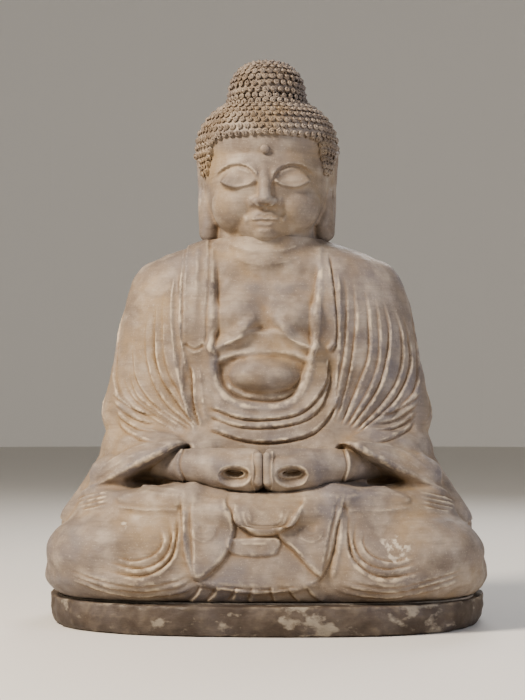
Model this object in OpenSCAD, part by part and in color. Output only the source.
// Seated Buddha carved in stone, built as pinned and bedded blocks on a low plinth.
// Millimetres, +Z up, origin at the middle of the underside. The figure faces -Y,
// so its right hand is on -X.

/* [Plinth] */
// Widest size of the plinth across the figure
plinth_w = 600; // [580:2:612]
// Size of the plinth from front to back
plinth_d = 430; // [426:2:450]
// Height of the plinth slab
plinth_h = 40; // [30:1:60]

/* [Lap] */
// Width across both knees
knee_w = 619; // [612:1:630]
// Height of the crossed legs, from the bed on the plinth to the waist joint
lap_h = 146; // [140:1:160]
// How far the front of the shins stands in front of the middle
lap_front = 197; // [190:1:200]
// How far the seat reaches behind the middle
lap_back = 206; // [195:1:212]
// How far each knee swells out of the lap
knee_swell = 25; // [0:1:26]

/* [Torso] */
// Width across the elbows, at the waist joint
elbow_w = 500; // [480:2:510]
// Height from the waist joint to the neck joint
torso_h = 351; // [340:1:360]
// Depth of the body in front of its axis, at the waist
torso_front = 112; // [100:1:120]
// Depth of the body behind its axis, at the waist
torso_back = 150; // [140:1:160]
// Half the width of the middle block, where the arm blocks are pinned on
arm_joint_x = 118; // [112:1:124]

/* [Head] */
// Height of the head block from the neck joint to the crown joint
head_h = 203; // [190:1:215]
// Width of the head over the hair
head_w = 204; // [196:1:208]
// Depth of the head in front of its axis
head_front = 94; // [88:1:98]
// Depth of the head behind its axis
head_back = 104; // [96:1:110]
// Height of the crown block
crown_h = 53; // [46:1:60]
// Radius of the crown block
crown_r = 57; // [50:1:58]
// Length of each ear, from its top to the bottom of the lobe
ear_h = 117; // [100:1:120]

/* [Joints] */
// Thickness of the mortar beds
bed_t = 2; // [1.5:0.5:3]
// Gap left for adhesive where the arm blocks meet the middle block
arm_gap = 0.5; // [0.3:0.1:1]
// Radial room around each pin
pin_room = 0.5; // [0.2:0.1:1]
// Radius of the large pins in the plinth, waist and neck
large_pin_r = 8; // [6:0.5:10]
// Radius of the small pins in the arms, hands and crown
small_pin_r = 5; // [4:0.5:6]
// Radius of the neck tenon
neck_tenon_r = 38; // [30:1:42]
// Radius of the wrist tenons
wrist_tenon_r = 15; // [12:1:16]

/* [Hidden] */

$fn = 48;
// Points around each carved block
sides = 48;

// How far each mortar bed stops short of the blocks' edges
bed_edge = 8;

// Heights of the joints
lap_z = plinth_h + bed_t;
waist_z = lap_z + lap_h;
torso_z = waist_z + bed_t;
neck_z = torso_z + torso_h;
head_z = neck_z + bed_t;
crown_joint_z = head_z + head_h;
crown_bed_t = 1;
crown_z = crown_joint_z + crown_bed_t;

// Where the vertical axis of each block stands, from front to back
lap_axis_y = -40;
head_axis_y = -8;

// Outlines. Each row is [share of the block's height, share of its half width,
// share of its front depth, share of its back depth].
plinth_rows = [
    [0, 0.962, 0.955, 0.96], [0.06, 0.977, 0.975, 0.98], [0.25, 0.99, 0.99, 0.99],
    [0.6, 1, 1, 1], [1, 1, 0.985, 1]];
lap_rows = [
    [0, 0.965, 0.985, 0.975], [0.05, 0.985, 1, 0.985], [0.12, 0.997, 1, 0.99],
    [0.2, 1, 1, 1], [0.3, 0.99, 0.99, 0.99], [0.4, 0.973, 0.975, 0.975],
    [0.52, 0.945, 0.955, 0.95], [0.66, 0.915, 0.925, 0.91], [0.79, 0.88, 0.9, 0.87],
    [0.9, 0.85, 0.88, 0.84], [1, 0.82, 0.86, 0.81]];
torso_rows = [
    [0, 1, 1, 1], [0.07, 0.964, 1, 0.985], [0.13, 0.94, 0.99, 0.96],
    [0.19, 0.932, 0.96, 0.93], [0.25, 0.917, 0.935, 0.9], [0.31, 0.905, 0.915, 0.875],
    [0.4, 0.893, 0.9, 0.84], [0.48, 0.884, 0.893, 0.82], [0.54, 0.876, 0.885, 0.81],
    [0.6, 0.86, 0.875, 0.795], [0.65, 0.848, 0.855, 0.78], [0.71, 0.832, 0.83, 0.76],
    [0.77, 0.812, 0.79, 0.735], [0.82, 0.788, 0.735, 0.705], [0.855, 0.755, 0.69, 0.68],
    [0.88, 0.72, 0.66, 0.66], [0.91, 0.664, 0.61, 0.63], [0.935, 0.594, 0.565, 0.595],
    [0.96, 0.5, 0.53, 0.56], [0.98, 0.416, 0.49, 0.52], [1, 0.34, 0.43, 0.46]];
head_rows = [
    [0, 0.64, 0.53, 0.57], [0.02, 0.655, 0.7, 0.6], [0.05, 0.69, 0.83, 0.64],
    [0.11, 0.75, 0.93, 0.74], [0.19, 0.81, 0.97, 0.83], [0.28, 0.86, 0.98, 0.9],
    [0.38, 0.9, 0.98, 0.95], [0.48, 0.92, 0.985, 0.98], [0.58, 0.95, 0.99, 1],
    [0.67, 0.985, 1, 1], [0.74, 1, 1, 0.985], [0.81, 0.97, 0.96, 0.93],
    [0.88, 0.89, 0.86, 0.83], [0.94, 0.76, 0.73, 0.69], [0.98, 0.63, 0.59, 0.56],
    [1, 0.55, 0.5, 0.48]];

// Swellings of a block: [angle, height, amount, spread in angle, spread in height].
// Angles run from +X, and -90 is the front.
lap_swells = [
    // knees
    [-37, lap_z + 44, knee_swell, 18, 48], [-143, lap_z + 44, knee_swell, 18, 48],
    // creases between each knee and the hanging front of the robe
    [-56, lap_z + 44, -9, 5, 50], [-124, lap_z + 44, -9, 5, 50]];
torso_swells = [
    // forearms inside the sleeves
    [-48, torso_z + 28, 46, 20, 36], [-132, torso_z + 28, 46, 20, 36],
    // hollow between the chest and each arm
    [-40, torso_z + 150, -12, 9, 70], [-140, torso_z + 150, -12, 9, 70],
    // shoulder blades
    [55, torso_z + 225, 8, 25, 60], [125, torso_z + 225, 8, 25, 60]];

// The middle of each wrist joint, how far it turns in, and its reach to either side
wrist = [arm_joint_x, -106, waist_z + 30];
wrist_turn = 45;
wrist_in = 24;
wrist_out = 30;
// The balls that each hand is stretched over: [distance from the middle, y, height, radius]
hand_balls = [[92, -128, 30, 24], [60, -152, 30, 29], [27, -160, 28, 27], [24, -148, 22, 23]];
ball_facets = 28;
// The opening that the thumb and first finger close: its middle, its radius and its floor
ring_x = 36;
ring_z = waist_z + 25;
ring_r = 9;
ring_floor_y = -168;
// The hollow in the middle block behind the hands
hand_recess_y = -119;
wrist_recess_y = -80;
hand_top_z = waist_z + 62;

// Pins: length in each block, and their places
large_pin_reach = 56;
small_pin_reach = 38;
crown_pin_reach = 30;
plinth_pin_reach = 30;
plinth_pin_x = 180;
plinth_pin_y = 90;
waist_pins = [[-60, 30], [60, 30], [0, 95]];
arm_pin_heights = [torso_z + 95, torso_z + 225];
hand_pin_x = 66;
hand_pin_y = -148;
hand_pin_reach = 24;
neck_tenon_h = 30;
neck_bed_w = 6;

// Radius of an outline with half width a, depth b and squareness n
function outline_r(t, a, b, n) =
    1 / pow(pow(abs(cos(t)) / a, n) + pow(abs(sin(t)) / b, n), 1 / n);

function angle_apart(t, u) = abs((t - u + 540) % 360 - 180);

function swell_at(t, z, swells, i = 0) =
    i >= len(swells) ? 0 :
    swells[i][2] * exp(-pow(angle_apart(t, swells[i][0]) / swells[i][3], 2)
        - pow((z - swells[i][1]) / swells[i][4], 2)) + swell_at(t, z, swells, i + 1);

// One ring of points. row is [z, half width, front, back].
function ring(row, axis_y, square, swells) = [
    for (i = [0:sides - 1])
        let (t = i * 360 / sides - 180,
            depth = t < 0 ? row[2] + axis_y : row[3] - axis_y,
            r = outline_r(t, row[1], depth, t < 0 ? square[0] : square[1])
                + swell_at(t, row[0], swells))
        [r * cos(t), axis_y + r * sin(t), row[0]]];

// A carved block as one closed skin through a ring at each row
module block(rows, z, size, axis_y, square, swells = []) {
    levels = [for (r = rows) [z + r[0] * size[0], r[1] * size[1], r[2] * size[2], r[3] * size[3]]];
    top = len(levels) - 1;
    points = [for (l = levels) each ring(l, axis_y, square, swells)];
    walls = [
        for (k = [0:top - 1]) for (i = [0:sides - 1])
            let (j = (i + 1) % sides, a = k * sides, b = a + sides)
            each [[a + i, b + i, b + j], [a + i, b + j, a + j]]];
    floor_face = [for (i = [0:sides - 1]) i];
    top_face = [for (i = [sides - 1:-1:0]) top * sides + i];
    polyhedron(points, concat(walls, [floor_face, top_face]));
}

// The outline of a block at one of its rows, drawn in by inset
module block_outline(row, size, axis_y, square, inset) {
    polygon([for (p = ring([0, row[1] * size[1] - inset, row[2] * size[2] - inset,
        row[3] * size[3] - inset], axis_y, square, [])) [p[0], p[1]]]);
}

plinth_size = [plinth_h, plinth_w / 2, plinth_d / 2, plinth_d / 2];
lap_size = [lap_h, knee_w / 2, lap_front, lap_back];
torso_size = [torso_h, elbow_w / 2, torso_front, torso_back];
head_size = [head_h, head_w / 2, head_front, head_back];
plinth_square = [2.7, 2.5];
lap_square = [2.8, 2.3];
torso_square = [2.4, 2.4];
head_square = [2.1, 2.1];

// An upright pin or its hole between two heights
module upright(r, low, high) {
    translate([0, 0, low]) cylinder(r = r, h = high - low);
}

module plinth_pins(room) {
    for (x = [-plinth_pin_x, plinth_pin_x], y = [-plinth_pin_y, plinth_pin_y])
        translate([x, y, 0])
            upright(large_pin_r + room, plinth_h - plinth_pin_reach - room,
                lap_z + large_pin_reach + room);
}

module waist_pins(room) {
    for (p = waist_pins)
        translate([p[0], p[1], 0])
            upright(large_pin_r + room, waist_z - large_pin_reach - room,
                torso_z + large_pin_reach + room);
}

module neck_pin(room) {
    translate([0, head_axis_y, 0])
        upright(large_pin_r + room, neck_z - neck_tenon_h - small_pin_reach - room,
            head_z + large_pin_reach + room);
}

module neck_tenon(room) {
    translate([0, head_axis_y, 0])
        upright(neck_tenon_r + room, neck_z - neck_tenon_h - room, head_z + 1);
}

module crown_pin(room) {
    translate([0, head_axis_y, 0])
        upright(small_pin_r + room, crown_joint_z - crown_pin_reach - room,
            crown_z + crown_pin_reach + room);
}

// Pins of the arm on side (-1 right, 1 left)
module arm_pins(side, room) {
    for (z = arm_pin_heights)
        translate([side * (arm_joint_x - small_pin_reach - room), 0, z])
            rotate([0, side * 90, 0])
                cylinder(r = small_pin_r + room, h = 2 * (small_pin_reach + room));
}

module hand_pin(side, room) {
    translate([side * hand_pin_x, hand_pin_y, 0])
        upright(small_pin_r + room, waist_z - hand_pin_reach - room,
            waist_z + hand_pin_reach + room);
}

// The round tenon of a wrist, from inside the hand out into the sleeve
module wrist_tenon(side, room) {
    translate([side * wrist[0], wrist[1], wrist[2]])
        rotate([0, 0, side > 0 ? wrist_turn : 180 - wrist_turn])
            rotate([0, 90, 0])
                translate([0, 0, -wrist_in])
                    cylinder(r = wrist_tenon_r + room, h = wrist_in + wrist_out + room);
}

module body_mass() {
    block(torso_rows, torso_z, torso_size, 0, torso_square, torso_swells);
}

// The hollow that the hands lie in, between the sleeves
module hand_recess() {
    far = 2 * arm_joint_x;
    translate([-arm_joint_x, hand_recess_y - far, torso_z - 1])
        cube([far, far, hand_top_z - torso_z + 1]);
    for (side = [-1, 1])
        translate([side * (arm_joint_x - 22) - 23, wrist_recess_y - far, torso_z - 1])
            cube([46, far, hand_top_z - torso_z + 1]);
}

module plinth_slab() {
    color("dimgray") difference() {
        block(plinth_rows, 0, plinth_size, 0, plinth_square);
        plinth_pins(pin_room);
    }
}

// Lead shims that carry the lap while its bed sets
shim_size = [36, 24];
shim_x = 110;
shim_y = 95;
shim_room = 0.2;

module shims(room, over) {
    for (x = [-shim_x, shim_x], y = [-shim_y, shim_y])
        translate([x - shim_size[0] / 2 - room, y - shim_size[1] / 2 - room, plinth_h - over])
            cube([shim_size[0] + 2 * room, shim_size[1] + 2 * room, bed_t + 2 * over]);
}

module setting_shims() {
    color("slategray") shims(0, 0);
}

module plinth_bed() {
    color("lightgray") difference() {
        translate([0, 0, plinth_h])
            linear_extrude(bed_t)
                block_outline(lap_rows[0], lap_size, lap_axis_y, lap_square, bed_edge);
        plinth_pins(pin_room);
        shims(shim_room, 1);
    }
}

module plinth_dowels() {
    color("silver") plinth_pins(0);
}

module lap_block() {
    color("rosybrown") difference() {
        block(lap_rows, lap_z, lap_size, lap_axis_y, lap_square, lap_swells);
        plinth_pins(pin_room);
        waist_pins(pin_room);
        hand_pin(-1, pin_room);
        hand_pin(1, pin_room);
    }
}

module waist_bed() {
    color("lightgray") difference() {
        translate([0, 0, waist_z])
            linear_extrude(bed_t)
                intersection() {
                    block_outline(torso_rows[0], torso_size, 0, torso_square, bed_edge);
                    block_outline(lap_rows[len(lap_rows) - 1], lap_size, lap_axis_y,
                        lap_square, bed_edge);
                    translate([-elbow_w, hand_recess_y + bed_edge])
                        square([2 * elbow_w, elbow_w]);
                }
        waist_pins(pin_room);
    }
}

module waist_dowels() {
    color("silver") waist_pins(0);
}

module torso_block() {
    half = arm_joint_x - arm_gap / 2;
    color("tan") difference() {
        intersection() {
            body_mass();
            translate([-half, -elbow_w, 0]) cube([2 * half, 2 * elbow_w, 2 * neck_z]);
        }
        hand_recess();
        waist_pins(pin_room);
        arm_pins(-1, pin_room);
        arm_pins(1, pin_room);
        neck_tenon(pin_room);
        neck_pin(pin_room);
    }
}

module arm_block(side) {
    face = arm_joint_x + arm_gap / 2;
    color("burlywood") difference() {
        intersection() {
            body_mass();
            translate([side > 0 ? face : -face - elbow_w, -elbow_w, 0])
                cube([elbow_w, 2 * elbow_w, 2 * neck_z]);
        }
        arm_pins(side, pin_room);
        wrist_tenon(side, pin_room);
    }
}

// A hand lying on the lap: a palm and a bent first finger that closes a ring with the thumb
module hand(side) {
    color("bisque") difference() {
        union() {
            intersection() {
                hull() for (b = hand_balls)
                    translate([side * b[0], b[1], waist_z + b[2]])
                        sphere(r = b[3], $fn = ball_facets);
                translate([side > 0 ? arm_gap : -arm_joint_x - arm_gap, -2 * elbow_w, waist_z])
                    cube([arm_joint_x, 4 * elbow_w, lap_h]);
            }
            wrist_tenon(side, 0);
        }
        // the ring's opening, a blind hollow in the front
        translate([side * ring_x, ring_floor_y, ring_z])
            rotate([90, 0, 0]) cylinder(r = ring_r, h = lap_h);
        hand_pin(side, pin_room);
    }
}

module hand_pins() {
    color("silver") {
        hand_pin(-1, 0);
        hand_pin(1, 0);
    }
}

module neck_bed() {
    color("lightgray") translate([0, head_axis_y, neck_z])
        difference() {
            cylinder(r = neck_tenon_r + neck_bed_w, h = bed_t);
            translate([0, 0, -1]) cylinder(r = neck_tenon_r + pin_room, h = bed_t + 2);
        }
}

// The ears: where their flat inner faces stand, their thickness and the radii of their ends
ear_x = 78;
ear_t = 16;
ear_z = head_z + 6;
shell_r = 26;
lobe_r = 11;

// The outline of an ear, from the side: a shell at the top and a long lobe
module ear_outline() {
    translate([0, ear_h - shell_r]) circle(r = shell_r);
    hull() {
        translate([-2, ear_h - shell_r - 8]) circle(r = shell_r - 6);
        translate([-12, lobe_r]) circle(r = lobe_r);
    }
}

module ear(side) {
    translate([side * ear_x, head_axis_y + 10, ear_z])
        rotate([90, 0, 90])
            mirror([1, 0, 0])
                translate([0, 0, side > 0 ? 0 : -ear_t])
                    linear_extrude(ear_t) ear_outline();
}

// The bead between the brows, set in its own socket
bead_z = head_z + 0.58 * head_h;
bead_y = head_axis_y - 0.99 * (head_front + head_axis_y) + 0.4;
bead_r = 6.5;
bead_shank_r = 3.5;
bead_shank = 12;
bead_rise = 4;

module head_block() {
    color("peachpuff") difference() {
        union() {
            block(head_rows, head_z, head_size, head_axis_y, head_square);
            neck_tenon(0);
            ear(-1);
            ear(1);
        }
        neck_pin(pin_room);
        crown_pin(pin_room);
        translate([0, bead_y, bead_z]) rotate([90, 0, 0]) {
            cylinder(r = bead_r + 0.1, h = 20);
            translate([0, 0, -bead_shank - 0.5])
                cylinder(r = bead_shank_r + 0.2, h = bead_shank + 1);
        }
    }
}

module neck_dowel() {
    color("silver") neck_pin(0);
}

// Share of the crown's radius that its bed covers
crown_bed_share = 0.75;

module crown_bed() {
    color("lightgray") translate([0, head_axis_y, crown_joint_z])
        difference() {
            cylinder(r = crown_bed_share * crown_r, h = crown_bed_t);
            translate([0, 0, -1]) cylinder(r = small_pin_r + pin_room, h = crown_bed_t + 2);
        }
}

// The crown swelling, a domed block turned about its own axis
module crown_block() {
    dome = [for (t = [0:6:90])
        [crown_r * pow(cos(t), 0.85), crown_h * (0.16 + 0.84 * pow(sin(t), 1.1))]];
    color("peachpuff") difference() {
        translate([0, head_axis_y, crown_z])
            rotate_extrude()
                polygon(concat([[0, 0], [0.92 * crown_r, 0]], dome));
        crown_pin(pin_room);
    }
}

module crown_dowel() {
    color("silver") crown_pin(0);
}

module brow_bead() {
    cap = [for (t = [0:15:90]) [bead_r * cos(t), bead_rise * sin(t)]];
    color("gainsboro") translate([0, bead_y, bead_z])
        rotate([90, 0, 0])
            rotate_extrude()
                polygon(concat([[0, -bead_shank], [bead_shank_r, -bead_shank],
                    [bead_shank_r, 0]], cap));
}

module right_arm_dowels() {
    color("silver") arm_pins(-1, 0);
}

module left_arm_dowels() {
    color("silver") arm_pins(1, 0);
}

plinth_slab();
plinth_bed();
setting_shims();
plinth_dowels();
lap_block();
waist_bed();
waist_dowels();
torso_block();
arm_block(-1);  // right_arm_block
arm_block(1);  // left_arm_block
right_arm_dowels();
left_arm_dowels();
hand(-1);  // right_hand
hand(1);  // left_hand
hand_pins();
neck_bed();
head_block();
neck_dowel();
crown_block();
crown_bed();
crown_dowel();
brow_bead();
